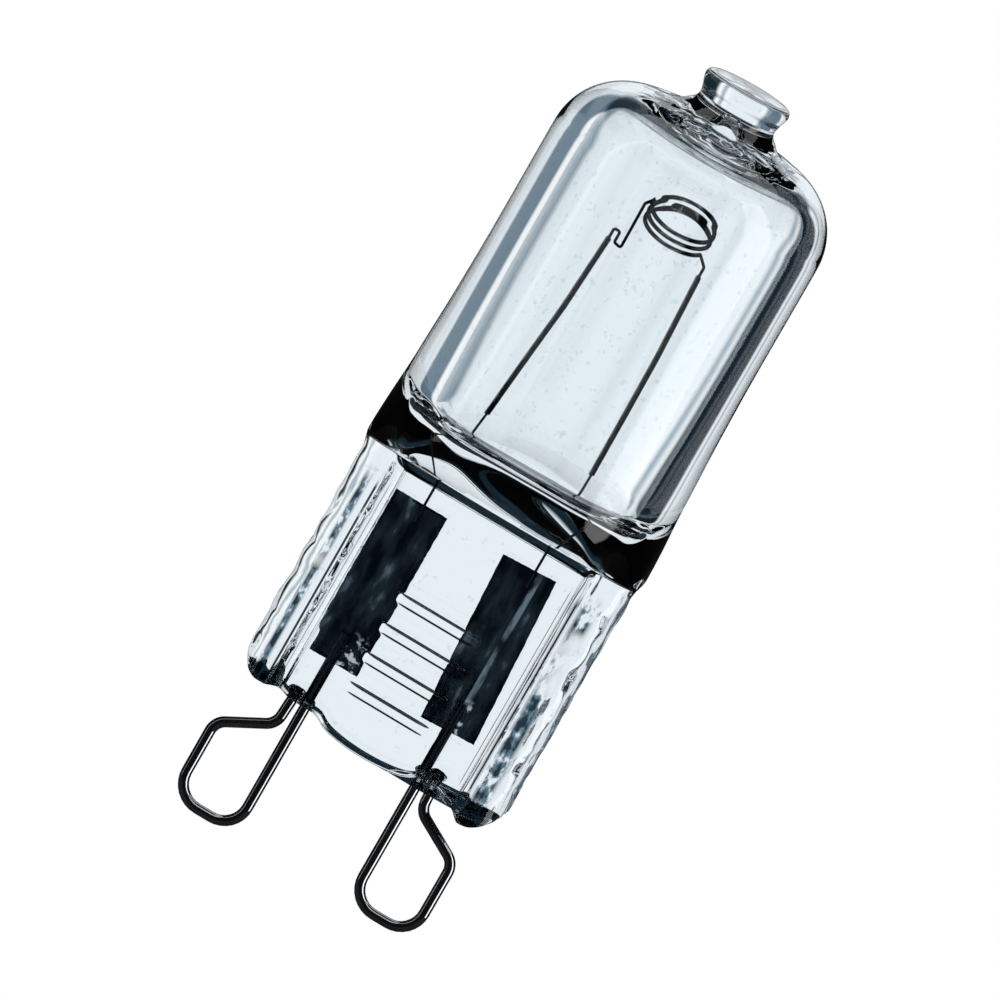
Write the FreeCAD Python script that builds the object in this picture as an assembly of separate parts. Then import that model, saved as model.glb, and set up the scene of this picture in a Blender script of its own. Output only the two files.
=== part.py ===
import FreeCAD, Part
import math
import os

from FreeCAD import Vector

# Halogen capsule lamp with two wire loops as pins, in millimetres.
# +Z runs up the lamp from the pins to the sealed tip, +X across the pins, -Y is the front.
# The origin lies midway between the two pins, at the level where they leave the glass.

# Pins: each is one wire, straight out of the glass, round a loop and back into the glass
pin_spacing = 9.0
pin_wire_diameter = 0.5
loop_width = 3.1
loop_depth = 6.8
loop_corner_radius = 1.2
loop_bend_radius = 0.8
loop_shoulder_drop = 2.8
loop_knee_drop = 1.5
neck_gap = 0.12
neck_lean = 0.12
free_end_depth = 0.5
channel_clearance = 0.04

# Glass: bulb, with its middle a little to one side of the pins
glass_offset = 0.3
bulb_diameter = 13.0
bulb_wall = 1.3
bore_offset = 0.1
dome_height = 31.65
dome_corner_radius = 3.2
dome_crown_slope = 12.0
bulb_base_height = 14.4
crown_thickness = 1.8
cavity_top_bevel = 1.3

# Glass: sealed exhaust tip on the dome
tip_offset = 0.15
tip_height = 33.05
tip_top_diameter = 4.1
tip_neck_diameter = 3.65
tip_rim_height = 0.55
tip_rim_bevel = 0.2
tip_root = 1.2
tip_bore_diameter = 1.3
tip_cover = 1.1

# Glass: shoulder, where the round bulb turns into the flat pinch
shoulder_end_height = 11.9
shoulder_flare = 0.25
shoulder_steps = (28, 52, 73)
pinch_width = 13.2
pinch_thickness = 4.2
short_arc_angle = 8.0
pinch_top_height = 11.2
pinch_rounding = 1.0
cavity_base_height = 14.9
cavity_floor_height = 13.5
cavity_foot_bevel = 0.8
cavity_slot_thickness = 1.2
cavity_slope_reach = 0.2
cavity_slope_depth = 0.2

# Glass: pinch, an H section with a thin web between two rails
web_thickness = 2.2
web_width = 9.15
web_top_height = 11.2
web_top_slope = 1.4
rail_draft = 0.45
rail_foot_left = -0.2
rail_foot_right = 0.7
rail_foot_rounding = 1.2
rail_foot_slant = 0.25
tongue_width = 5.0
tongue_drop = 0.6
wire_exit_width = 1.2
rib_count = 4
rib_pitch = 1.5
rib_length = 3.9
rib_height = 0.5
rib_first_height = 1.85

# Molybdenum foils, sealed in the web between the outer and the inner wires
foil_width = 2.6
foil_length = 8.0
foil_thickness = 0.05
foil_base_height = 2.2
foil_tilt_right = 3.0
weld_flat = 0.03
weld_margin = 0.15
pin_overlap = 1.5

# Inner leads, the overwound sleeves round them and the filament between their tops
lead_diameter = 0.12
lead_overlap = 0.8
lead_weld_flat = 0.015
sleeve_diameter = 0.27
lead_floor_height = 13.7
sleeve_base_height = 15.1
sleeve_mid_height = 20.8
lead_left_foot = -2.79
lead_left_sleeve_base = -2.59
lead_left_mid = -1.95
lead_left_top = -1.73
lead_left_top_height = 24.4
lead_right_foot = 2.82
lead_right_sleeve_base = 2.81
lead_right_mid = 2.68
lead_right_top = 2.5
lead_right_top_height = 24.9
coil_centre_across = 0.72
coil_base_height = 26.0
coil_radius = 1.5
coil_pitch = 0.34
coil_turns = 2.44
coil_start_angle = -20.0
coil_lean = 18.0
coil_chords = 12
coil_strand_diameter = 0.2
strand_sides = 6
tail_diameter = 0.1
tail_rise = 0.45
tail_sag = 0.15
tail_clearance = 0.27
tail_hook_width = 0.3
tail_bend_radius = 0.1

# Sizes worked out from the ones above
pin_wire_radius = pin_wire_diameter / 2
straight_leg = pin_spacing / 2 - loop_width / 2
outer_leg = pin_spacing / 2 + loop_width / 2
free_end = straight_leg + pin_wire_diameter + neck_gap
foil_front = pin_wire_radius - weld_flat
foil_top_height = foil_base_height + foil_length
lead_plane = foil_front - lead_diameter / 2 + lead_weld_flat
bulb_radius = bulb_diameter / 2
cavity_radius = bulb_radius - bulb_wall
cavity_top_height = dome_height - crown_thickness
far = 4 * bulb_diameter
bend_step = math.radians(36)


def point(across, height, depth=0.0):
    return Vector(across, depth, height)


def rounded_path(corners, radii):
    """Points of a path with each inner corner rounded by short chords of its arc."""
    points = [corners[0]]
    for before, corner, after, radius in zip(corners, corners[1:], corners[2:], radii):
        into = (corner - before).normalize()
        out = (after - corner).normalize()
        turn = into.getAngle(out)
        axis = into.cross(out).normalize()
        arc_start = corner - into * radius * math.tan(turn / 2)
        centre = arc_start + axis.cross(into) * radius
        steps = max(1, round(turn / bend_step))
        for i in range(steps + 1):
            swing = FreeCAD.Rotation(axis, math.degrees(turn) * i / steps)
            points.append(centre + swing.multVec(arc_start - centre))
    return points + [corners[-1]]


def rod(points, radius):
    """Round wire along a path of short straight runs, mitred where they meet."""
    start = (points[1] - points[0]).normalize()
    section = Part.Wire(Part.Circle(points[0], start, radius).toShape())
    return Part.makePolygon(points).makePipeShell([section], True, False, 1)


def prism(wire, direction):
    return Part.Face(wire).extrude(direction)


def across_prism(profile, half_width):
    """Solid that runs along X with the given outline of (depth, height) points."""
    points = [Vector(-half_width, depth, height) for depth, height in profile]
    outline = Part.makePolygon(points + points[:1])
    return prism(outline, Vector(2 * half_width, 0, 0))


def domed_solid(radius, base, top, corner_radius, crown_slope):
    """Turned solid: straight wall, rounded corner and a crown that slopes up to its middle."""
    slope = math.radians(crown_slope)
    inset = radius - corner_radius
    crown_reach = inset + corner_radius * math.sin(slope)
    crown_foot = top - crown_reach * math.tan(slope)
    wall_top = point(radius, crown_foot - corner_radius * math.cos(slope))
    crown_start = point(crown_reach, crown_foot)
    edges = [
        Part.LineSegment(point(0, base), point(radius, base)).toShape(),
        Part.LineSegment(point(radius, base), wall_top).toShape(),
        arc_between(wall_top, crown_start, point(inset, wall_top.z), corner_radius),
        Part.LineSegment(crown_start, point(0, top)).toShape(),
        Part.LineSegment(point(0, top), point(0, base)).toShape(),
    ]
    return Part.Face(Part.Wire(edges)).revolve(Vector(0, 0, 0), Vector(0, 0, 1), 360)


def arc_between(start, end, centre, radius):
    middle = (start + end) / 2 - centre
    return Part.Arc(start, centre + middle.normalize() * radius, end).toShape()


def round_section(radius, height):
    """Circle in eight arcs, four short and four long, to match the edges of a bar."""
    centre = Vector(0, 0, height)
    corners = []
    for quarter in range(4):
        for swing in (-short_arc_angle, short_arc_angle):
            angle = math.radians(90 * quarter + swing)
            corners.append(centre + Vector(math.cos(angle), math.sin(angle), 0) * radius)
    pairs = zip(corners, corners[1:] + corners[:1])
    return Part.Wire([arc_between(start, end, centre, radius) for start, end in pairs])


def bar_section(half_width, half_depth, rounding, height):
    """Rectangle with rounded corners, as four sides and four arcs."""
    across, deep = half_width - rounding, half_depth - rounding
    edges = []
    side_end = Vector(half_width, -deep, height)
    for sign_x, sign_y in ((1, 1), (-1, 1), (-1, -1), (1, -1)):
        on_side = Vector(sign_x * half_width, sign_y * deep, height)
        on_face = Vector(sign_x * across, sign_y * half_depth, height)
        first, last = (on_side, on_face) if sign_x == sign_y else (on_face, on_side)
        centre = Vector(sign_x * across, sign_y * deep, height)
        edges.append(Part.LineSegment(side_end, first).toShape())
        edges.append(arc_between(first, last, centre, rounding))
        side_end = last
    return Part.Wire(edges)


def shoulder(pinch_outline):
    """Rounds in from the bulb to the pinch: one outline at each step of the rounding."""
    drop = bulb_base_height - shoulder_end_height
    pinch_half = pinch_thickness / 2
    widening = pinch_width / 2 + shoulder_flare - bulb_radius
    sections = [round_section(bulb_radius, bulb_base_height)]
    for degrees in shoulder_steps:
        down = math.sin(math.radians(degrees))
        half_depth = pinch_half + (bulb_radius - pinch_half) * math.cos(math.radians(degrees))
        half_width = bulb_radius + widening * down ** 2
        rounding = half_depth * (0.94 - 0.44 * down ** 4)
        height = bulb_base_height - drop * down
        sections.append(bar_section(half_width, half_depth, rounding, height))
    return Part.makeLoft(sections + [pinch_outline], True, True)


def pinch_bar(pinch_outline):
    """Solid bar of the pinch, from the shoulder to below its feet."""
    lowest = -max(rail_foot_left, rail_foot_right, tongue_drop) - 1.0
    return prism(pinch_outline, Vector(0, 0, lowest - pinch_top_height))


def below_feet():
    """All space under the lower outline of the pinch, seen from the front."""
    side = pinch_width / 2 + 1
    left_edge = -pinch_width / 2 - glass_offset
    right_edge = pinch_width / 2 - glass_offset
    rounding = rail_foot_rounding
    slant = rounding * (1 - math.sqrt(0.5))
    left_inner = -free_end - wire_exit_width / 2
    tongue = tongue_width / 2
    right_inner = free_end + wire_exit_width / 2
    top = shoulder_end_height
    left_low = -rail_foot_left
    corner_top = point(-pinch_width / 2, left_low + rounding)
    corner_mid = point(-pinch_width / 2 + slant, left_low + slant)
    corner_low = point(-pinch_width / 2 + rounding, left_low)
    lean = point(left_inner - glass_offset - rail_foot_slant, left_low)
    left_web = point(left_inner - glass_offset, 0)
    tongue_left = point(-tongue - glass_offset, 0)
    tongue_low = point(-glass_offset, -tongue_drop)
    tongue_right = point(tongue - glass_offset, 0)
    right_web = point(right_inner - glass_offset, 0)
    right_low = point((right_inner - glass_offset + pinch_width / 2) / 2, -rail_foot_right)
    right_top = point(pinch_width / 2, rounding * 0.5)
    edges = [
        Part.LineSegment(point(-side, top), point(-side, left_low + rounding)).toShape(),
        Part.LineSegment(point(-side, left_low + rounding), corner_top).toShape(),
        Part.Arc(corner_top, corner_mid, corner_low).toShape(),
        Part.LineSegment(corner_low, lean).toShape(),
        Part.LineSegment(lean, left_web).toShape(),
        Part.LineSegment(left_web, tongue_left).toShape(),
        Part.Arc(tongue_left, tongue_low, tongue_right).toShape(),
        Part.LineSegment(tongue_right, right_web).toShape(),
        Part.Arc(right_web, right_low, right_top).toShape(),
        Part.LineSegment(right_top, point(side, rounding * 0.5)).toShape(),
        Part.LineSegment(point(side, rounding * 0.5), point(side, top)).toShape(),
        Part.LineSegment(point(side, top), point(-side, top)).toShape(),
    ]
    kept = prism(Part.Wire(edges), Vector(0, far, 0))
    kept.translate(Vector(0, -far / 2, 0))
    depth = shoulder_end_height + far
    below = Part.makeBox(far, far, depth - 1, Vector(-far / 2, -far / 2, -far))
    return below.cut(kept)


def web_pocket(side):
    """Space that the press jaw leaves in front of the web (side -1) or behind it (side 1)."""
    web = web_thickness / 2
    face = pinch_thickness / 2
    draft = rail_draft / (face - web)
    reach = face + 2
    half = web_width / 2
    wide = half + draft * (reach - web)
    plan = [(-half, web), (half, web), (wide, reach), (-wide, reach)]
    points = [Vector(x, side * y, -far / 2) for x, y in plan]
    column = prism(Part.makePolygon(points + points[:1]), Vector(0, 0, far))
    slope_top = web + (shoulder_end_height - web_top_height) * web_top_slope
    section = [
        (side * web, -far / 4),
        (side * web, web_top_height),
        (side * slope_top, shoulder_end_height),
        (side * reach, shoulder_end_height),
        (side * reach, -far / 4),
    ]
    return column.common(across_prism(section, bulb_diameter))


def ribs():
    """Raised bars across the front of the web, between the foils."""
    front = -web_thickness / 2
    made = []
    for i in range(rib_count):
        height = rib_first_height + i * rib_pitch
        start = Vector(-rib_length / 2, front, height)
        made.append(Part.makeCylinder(rib_height / 2, rib_length, start, Vector(1, 0, 0)))
    return made


def exhaust_tip():
    """Short flared stub of the exhaust tube, closed on top."""
    top = tip_top_diameter / 2
    neck = tip_neck_diameter / 2
    bevel = tip_rim_bevel
    outline = [
        point(0, dome_height - tip_root),
        point(neck, dome_height - tip_root),
        point(neck, tip_height - 2 * tip_rim_height),
        point(top, tip_height - tip_rim_height),
        point(top, tip_height - bevel),
        point(top - bevel, tip_height),
        point(0, tip_height),
    ]
    face = Part.Face(Part.makePolygon(outline + outline[:1]))
    return face.revolve(Vector(0, 0, 0), Vector(0, 0, 1), 360)


def cavity():
    """Gas space: round bore with a bevelled top, closed below between two sloping walls."""
    bevel = cavity_top_bevel
    wide = cavity_radius - bevel
    outline = [
        point(0, cavity_floor_height),
        point(cavity_radius - cavity_foot_bevel, cavity_floor_height),
        point(cavity_radius, cavity_floor_height + cavity_foot_bevel),
        point(cavity_radius, cavity_top_height - bevel),
        point(cavity_radius - bevel * 0.3, cavity_top_height - bevel * 0.3),
        point(wide, cavity_top_height),
        point(0, cavity_top_height),
    ]
    face = Part.Face(Part.makePolygon(outline + outline[:1]))
    bore = face.revolve(Vector(0, 0, 0), Vector(0, 0, 1), 360)
    slot = cavity_slot_thickness / 2
    base = cavity_base_height
    drop = base - cavity_floor_height + cavity_slope_depth
    back = []
    for degrees in (0, 22, 45, 67, 90):
        angle = math.radians(degrees)
        depth = slot + (cavity_radius + cavity_slope_reach - slot) * math.cos(angle)
        back.append((depth, base - drop * math.sin(angle)))
    front = [(-depth, height) for depth, height in reversed(back)]
    lid = [(-far / 4, base), (-far / 4, far), (far / 4, far), (far / 4, base)]
    space = bore.common(across_prism(back + front + lid, bulb_diameter))
    space.translate(Vector(bore_offset, 0, 0))
    return space


def exhaust_bore():
    """Blind end of the exhaust bore, narrowing from the gas space up into the tip."""
    radius = tip_bore_diameter / 2
    start = cavity_top_height - radius
    length = tip_height - tip_cover - start
    return Part.makeCone(radius * 1.5, radius * 0.5, length, Vector(0, 0, start))


def pin(side):
    """Pin wire: up through the glass onto the foil, and round the loop to its free end."""
    lowest = -loop_depth + pin_wire_radius
    foil_overlap_top = foil_base_height + pin_overlap
    corners = [
        point(side * straight_leg, foil_overlap_top),
        point(side * straight_leg, lowest),
        point(side * outer_leg, lowest),
        point(side * outer_leg, -loop_shoulder_drop),
        point(side * (free_end + neck_lean), -loop_knee_drop),
        point(side * free_end, free_end_depth),
    ]
    radii = [loop_corner_radius, loop_corner_radius, loop_bend_radius, loop_bend_radius]
    wire = rod(rounded_path(corners, radii), pin_wire_radius)
    flat_start = foil_base_height - weld_margin
    behind = Part.makeBox(far, far, far, Vector(-far / 2, foil_front, flat_start))
    return wire.cut(behind)


def foil(side):
    tilt = foil_tilt_right if side > 0 else 0.0
    corner = Vector(side * straight_leg - foil_width / 2, foil_front, foil_base_height)
    sheet = Part.makeBox(foil_width, foil_thickness, foil_length, corner)
    sheet.rotate(Vector(side * straight_leg, 0, foil_base_height), Vector(0, 1, 0), -tilt)
    return sheet


def lead_corners(side):
    """Points of one inner lead, from its weld on the foil to its top."""
    if side < 0:
        foot, base, mid, top = lead_left_foot, lead_left_sleeve_base, lead_left_mid, lead_left_top
        top_height = lead_left_top_height
    else:
        foot, base, mid, top = (
            lead_right_foot, lead_right_sleeve_base, lead_right_mid, lead_right_top
        )
        top_height = lead_right_top_height
    return [
        point(foot, foil_top_height - lead_overlap, lead_plane),
        point(foot, lead_floor_height, lead_plane),
        point(base, sleeve_base_height, lead_plane),
        point(mid, sleeve_mid_height, lead_plane),
        point(top, top_height, lead_plane),
    ]


def inner_lead(side):
    wire = rod(lead_corners(side), lead_diameter / 2)
    flat_end = foil_top_height + weld_margin
    behind = Part.makeBox(far, far, flat_end, Vector(-far / 2, foil_front, 0))
    return wire.cut(behind)


def lead_sleeve(side):
    """Fine wire wound close round the upper lead, taken as a tube."""
    corners = lead_corners(side)[2:]
    return rod(corners, sleeve_diameter / 2).cut(rod(corners, lead_diameter / 2))


def coil_point(turn):
    """Middle of the strand after so many turns of the coil, which leans to the front."""
    angle = math.radians(coil_start_angle) - 2 * math.pi * turn
    across, deep = coil_radius * math.cos(angle), coil_radius * math.sin(angle)
    lean = FreeCAD.Rotation(Vector(1, 0, 0), coil_lean)
    place = lean.multVec(point(across, coil_pitch * turn, deep))
    return point(coil_centre_across, coil_base_height) + place


def fine_strand(points, diameter):
    """Thin wire with flat sides along a path of short straight runs."""
    swing = FreeCAD.Rotation(Vector(0, 0, 1), points[1] - points[0])
    section = []
    for i in range(strand_sides):
        angle = 2 * math.pi * i / strand_sides
        corner = Vector(math.cos(angle), math.sin(angle), 0) * diameter / 2
        section.append(points[0] + swing.multVec(corner))
    outline = Part.makePolygon(section + section[:1])
    return Part.makePolygon(points).makePipeShell([outline], True, False, 1)


def coil_strand():
    steps = round(coil_turns * coil_chords)
    points = [coil_point(coil_turns * i / steps) for i in range(steps + 1)]
    return fine_strand(points, coil_strand_diameter)


def tail(side):
    """Fine end of the filament wire, from the coil to the top of its lead."""
    below_top, top = lead_corners(side)[-2:]
    above_top = top + (top - below_top).normalize() * tail_rise
    if side > 0:
        return fine_strand([coil_point(0), above_top, top], tail_diameter)
    aside = Vector(tail_hook_width, 0, 0)
    coil_end = coil_point(coil_turns)
    corners = [
        coil_end,
        coil_end - Vector(tail_clearance, 0, tail_clearance),
        top + aside * 2.2 + Vector(0, 0, -tail_sag),
        top + aside + Vector(0, 0, -tail_sag / 2),
        above_top + aside,
        above_top,
        top,
    ]
    return fine_strand(rounded_path(corners, [tail_bend_radius] * 5), tail_diameter)


def filament():
    """Ring of coiled wire, with a fine tail from each end to the top of a lead."""
    return coil_strand().fuse(tail(-1)).fuse(tail(1))


def wire_channels(side):
    """Narrow space round the outer wire in the glass, and the hole for its free end."""
    radius = pin_wire_radius + channel_clearance
    down = Vector(0, 0, -1)
    stem_top = point(side * straight_leg, foil_base_height - channel_clearance)
    stem = Part.makeCylinder(radius, far / 4, stem_top, down)
    end_top = point(side * free_end, free_end_depth)
    lean = point(side * (free_end + neck_lean), -loop_knee_drop) - end_top
    return stem.fuse(Part.makeCylinder(radius, far / 4, end_top, lean))


def envelope(sealed):
    """The whole glass, with the sealed pieces taken out of it so that they fit face to face."""
    bulb = domed_solid(
        bulb_radius, bulb_base_height, dome_height, dome_corner_radius, dome_crown_slope
    )
    pinch_outline = bar_section(
        pinch_width / 2, pinch_thickness / 2, pinch_rounding, pinch_top_height
    )
    glass = bulb.fuse(shoulder(pinch_outline)).fuse(pinch_bar(pinch_outline))
    glass = glass.cut(below_feet())
    for side in (-1, 1):
        glass = glass.cut(web_pocket(side))
    for rib in ribs():
        glass = glass.fuse(rib)
    tip = exhaust_tip()
    tip.translate(Vector(tip_offset, 0, 0))
    glass = glass.fuse(tip)
    bore = exhaust_bore()
    bore.translate(Vector(tip_offset, 0, 0))
    glass = glass.cut(cavity().fuse(bore))
    glass.translate(Vector(glass_offset, 0, 0))
    for side in (-1, 1):
        glass = glass.cut(wire_channels(side))
    for piece in sealed:
        glass = glass.cut(piece)
    return glass


def save(name, shape):
    shape.exportStep(os.path.join("parts", name + ".step"))
    box = shape.BoundBox
    print(name, shape.isValid(), len(shape.Solids), round(shape.Volume, 3),
          [round(v, 2) for v in (box.XMin, box.XMax, box.YMin, box.YMax, box.ZMin, box.ZMax)])


os.makedirs("parts", exist_ok=True)
sealed_in = []
for name, side in (("left", -1), ("right", 1)):
    outer_wire = pin(side)
    sheet = foil(side)
    lead = inner_lead(side)
    save("pin_" + name, outer_wire)
    save("foil_" + name, sheet)
    save("inner_lead_" + name, lead)
    save("lead_sleeve_" + name, lead_sleeve(side))
    sealed_in += [outer_wire, sheet, lead]
save("filament", filament())
save("envelope", envelope(sealed_in))
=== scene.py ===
import math

import bmesh
import bpy
from mathutils import Matrix, Vector, noise


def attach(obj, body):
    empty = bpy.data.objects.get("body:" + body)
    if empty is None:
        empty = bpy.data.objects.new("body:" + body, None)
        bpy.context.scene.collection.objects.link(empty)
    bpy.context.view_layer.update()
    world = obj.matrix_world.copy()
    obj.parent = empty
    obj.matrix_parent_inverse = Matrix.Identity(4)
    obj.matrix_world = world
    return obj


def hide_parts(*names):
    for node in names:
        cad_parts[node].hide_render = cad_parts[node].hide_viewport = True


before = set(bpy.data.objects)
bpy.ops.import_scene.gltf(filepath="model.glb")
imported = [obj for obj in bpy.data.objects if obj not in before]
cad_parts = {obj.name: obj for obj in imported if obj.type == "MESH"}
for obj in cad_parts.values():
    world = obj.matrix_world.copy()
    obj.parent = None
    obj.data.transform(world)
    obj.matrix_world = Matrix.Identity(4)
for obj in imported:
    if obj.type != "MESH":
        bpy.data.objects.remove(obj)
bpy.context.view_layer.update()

MM = 0.001

# Places shared by the pieces, in millimetres, as the solids have them
GLASS_X = 0.3
TIP_X = 0.45
BULB_RADIUS = 6.5
LEG_X = 2.95
OUTER_LEG_X = 6.05
FREE_END_X = 3.57
FOIL_Y = 0.22
LEAD_Y = 0.175


# Helpers for meshes

def piece_of(mesh, name, material):
    """Makes a smooth object of a mesh in metres; it rides with the lamp."""
    for face in mesh.polygons:
        face.use_smooth = True
    mesh.materials.clear()
    mesh.materials.append(material)
    piece = bpy.data.objects.new(name, mesh)
    bpy.context.collection.objects.link(piece)
    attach(piece, "root")
    return piece


def piece_from(bm, name, material):
    """The same from a bmesh in millimetres."""
    bmesh.ops.scale(bm, vec=(MM, MM, MM), verts=bm.verts)
    mesh = bpy.data.meshes.new(name)
    bm.to_mesh(mesh)
    bm.free()
    return piece_of(mesh, name, material)


def first_ring(bm, places):
    """Starts a surface with a ring of vertices at the places."""
    made = bmesh.ops.create_circle(bm, cap_ends=False, segments=len(places), radius=1.0)
    ring = sorted(made["verts"], key=lambda v: math.atan2(v.co.y, v.co.x) % math.tau)
    for vert, place in zip(ring, places):
        vert.co = place
    return ring


def grow(bm, ring, places):
    """Extrudes the last ring of a surface to the next one."""
    edges = [bm.edges.get((a, b)) for a, b in zip(ring, ring[1:] + ring[:1])]
    made = bmesh.ops.extrude_edge_only(bm, edges=edges)["geom"]
    fresh = {part for part in made if isinstance(part, bmesh.types.BMVert)}
    grown = []
    for vert in ring:
        others = [edge.other_vert(vert) for edge in vert.link_edges]
        grown.append(next(other for other in others if other in fresh))
    for vert, place in zip(grown, places):
        vert.co = place
    return grown


def close(bm, ring):
    """Fills a ring with triangles."""
    edges = [bm.edges.get((a, b)) for a, b in zip(ring, ring[1:] + ring[:1])]
    bmesh.ops.triangle_fill(bm, use_beauty=True, use_dissolve=False, edges=edges)


def blend(a, b, share):
    return a + (b - a) * share


def ease(low, high, value):
    """Goes smoothly from 0 to 1 as the value goes from low to high."""
    share = min(1.0, max(0.0, (value - low) / (high - low)))
    return share * share * (3 - 2 * share)


def table(rows, value):
    """Reads a smooth curve through (place, size) rows, with the places falling."""
    for (z0, a), (z1, b) in zip(rows, rows[1:]):
        if value >= z1:
            return blend(a, b, ease(0, 1, (z0 - value) / (z0 - z1)))
    return rows[-1][1]


# Outline of the glass across its axis: 32 steps a quarter, from the side to the middle of a face.
# Half widths and half thicknesses; the last number is the step where a rail's wall meets the web.
STEPS = 32
RING = 4 * STEPS
SIDE = 6.6
FACE = 2.1
RAIL_EDGE = 1.0
WEB = 1.1
WEB_SIDE = 4.35
WEB_STEP = 19


def quarter_outline():
    """(across, depth of the bar, depth of the pinch) from the side of a rail to the web's middle."""
    rows = [(SIDE, y, y) for y in (0.0, 0.3, 0.6, 0.85, 1.1)]
    for degrees in (15, 30, 45, 60, 75, 90):
        angle = math.radians(degrees)
        y = FACE - RAIL_EDGE + RAIL_EDGE * math.sin(angle)
        rows.append((SIDE - RAIL_EDGE + RAIL_EDGE * math.cos(angle), y, y))
    rows += [(x, FACE, FACE) for x in (5.43, 5.26, 5.12)]
    wall = ((5.05, 2.06), (4.99, 1.95), (4.86, 1.66), (4.73, 1.38), (4.64, 1.19), (4.53, 1.11))
    rows += [(x, FACE, y) for x, y in wall]
    rows += [(WEB_SIDE * (1 - i / 12), FACE, WEB) for i in range(13)]
    return rows


QUARTER = quarter_outline()


def around():
    """Step within the quarter and the signs of x and y, for each vertex of a ring."""
    for k in range(RING):
        turn, step = divmod(k, STEPS)
        near = step if turn % 2 == 0 else STEPS - step
        yield near, (1 if turn in (0, 3) else -1), (1 if turn in (0, 1) else -1)


AROUND = list(around())


def disc(radius, height, centre):
    """Round ring at a height, about a place on the x axis."""
    places = []
    for near, sx, sy in AROUND:
        angle = math.radians(90 * near / STEPS)
        x, y = sx * radius * math.cos(angle), sy * radius * math.sin(angle)
        places.append(Vector((centre + x, y, height)))
    return places


def lumpy(places, amount):
    """The same ring with the soft lumps that the burner leaves."""
    lumps = []
    for place in places:
        lift = noise.noise(Vector((place.x * 0.9, place.y * 0.9, 3.1)))
        lift += 0.5 * noise.noise(place * 2.3)
        lumps.append(place + Vector((0, 0, amount * lift)))
    return lumps


# Heights of the feet of the rails and of the tongue between the pins, and where each form ends
LEFT_FOOT, LEFT_CORNER, LEFT_INNER = 0.2, -5.4, -4.42
RIGHT_FOOT, RIGHT_CORNER, RIGHT_INNER = -0.7, 5.2, 3.87
TONGUE, TONGUE_SIDE = -0.6, 2.5
LEFT_SLOPE = 0.25


def round_corner(height, rise, past, reach):
    """Rounded lower corner of a rail, rising from its foot."""
    return height + rise * (1 - math.sqrt(max(0.0, 1 - (past / reach) ** 2)))


def foot_height(x):
    """Lower outline of the pinch: left rail, web, tongue and the longer right rail."""
    if x < LEFT_CORNER:
        return round_corner(LEFT_FOOT, 1.2, LEFT_CORNER - x, 1.25)
    if x < LEFT_INNER:
        return LEFT_FOOT
    if x < LEFT_INNER + LEFT_SLOPE:
        return blend(LEFT_FOOT, 0.0, (x - LEFT_INNER) / LEFT_SLOPE)
    if abs(x) < TONGUE_SIDE:
        return TONGUE * math.sqrt(1 - (x / TONGUE_SIDE) ** 2)
    if x < RIGHT_INNER:
        return 0.0
    if x < RIGHT_CORNER:
        return RIGHT_FOOT * math.sin(math.pi / 2 * (x - RIGHT_INNER) / (RIGHT_CORNER - RIGHT_INNER))
    return round_corner(RIGHT_FOOT, 1.5, x - RIGHT_CORNER, 1.5)


# (height, half width) of the glass, downwards
SIDE_WIDTHS = [(40, BULB_RADIUS), (22, BULB_RADIUS), (19, 6.56), (16.4, 6.66), (13.2, 6.82),
               (12.1, 6.8), (11.3, 6.64), (10, SIDE), (-3, SIDE)]
BASE = 14.4
SHOULDER = 11.9
WEB_TOP = 11.2
RIBS = [1.85 + 1.5 * i for i in range(4)]
RIB_DEPTH = 0.27
RIB_HALF = 0.14


def rib_swell(x, z):
    """How far the ribs stand out of the front of the web, with a softer fall below than above."""
    ends = 1 - ease(1.75, 2.0, abs(x))
    swell = 0.0
    for height in RIBS:
        upper = 1 - ease(RIB_HALF, 0.24, z - height)
        lower = 1 - ease(RIB_HALF, 0.36, height - z)
        swell += RIB_DEPTH * min(upper, lower)
    return swell * ends


def rail_ripple(x, y, z):
    """Uneven skin that the press jaws leave on the rails."""
    amount = ease(4.9, 5.5, abs(x)) * (1 - ease(10.6, 11.8, z))
    coarse = noise.noise(Vector((x * 1.7, y * 1.7, z * 0.9)))
    fine = noise.noise(Vector((x * 4, y * 4, z * 2.2)))
    return 0.11 * amount * (coarse + 0.5 * fine)


def lower_ring(height, share=0.0):
    """Ring of the shoulder or the pinch at a height; share is how far it has sunk to the feet."""
    fall = min(1.0, max(0.0, (BASE - height) / (BASE - SHOULDER)))
    flat = 1 - math.sqrt(1 - fall * fall)
    pocket = ease(SHOULDER + 0.05, WEB_TOP, height) if height > WEB_TOP else 1.0
    wide = table(SIDE_WIDTHS, height)
    places = []
    for near, sx, sy in AROUND:
        angle = math.radians(90 * near / STEPS)
        bar_x, bar_y, pinch_y = QUARTER[near]
        x = blend(math.cos(angle), bar_x / SIDE, ease(0, 1, fall)) * wide
        y = blend(math.sin(angle) * BULB_RADIUS, blend(bar_y, pinch_y, pocket), flat)
        x, y = sx * x, sy * y
        if sy < 0 and near >= WEB_STEP and height < WEB_TOP:
            y -= rib_swell(x, height)
        z = blend(height, foot_height(x), share)
        reach = Vector((x, y))
        if reach.length > 0:
            reach += reach.normalized() * rail_ripple(x, y, z)
        places.append(Vector((GLASS_X + reach.x, reach.y, z)))
    return places


def shrunk(places, amount, drop):
    """The same ring moved in from its own outline, and down."""
    moved = []
    for before, place, after in zip(places[-1:] + places[:-1], places, places[1:] + places[:1]):
        along = Vector((after.x - before.x, after.y - before.y)).normalized()
        moved.append(place + Vector((-along.y * amount, along.x * amount, -drop)))
    return moved


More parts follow.
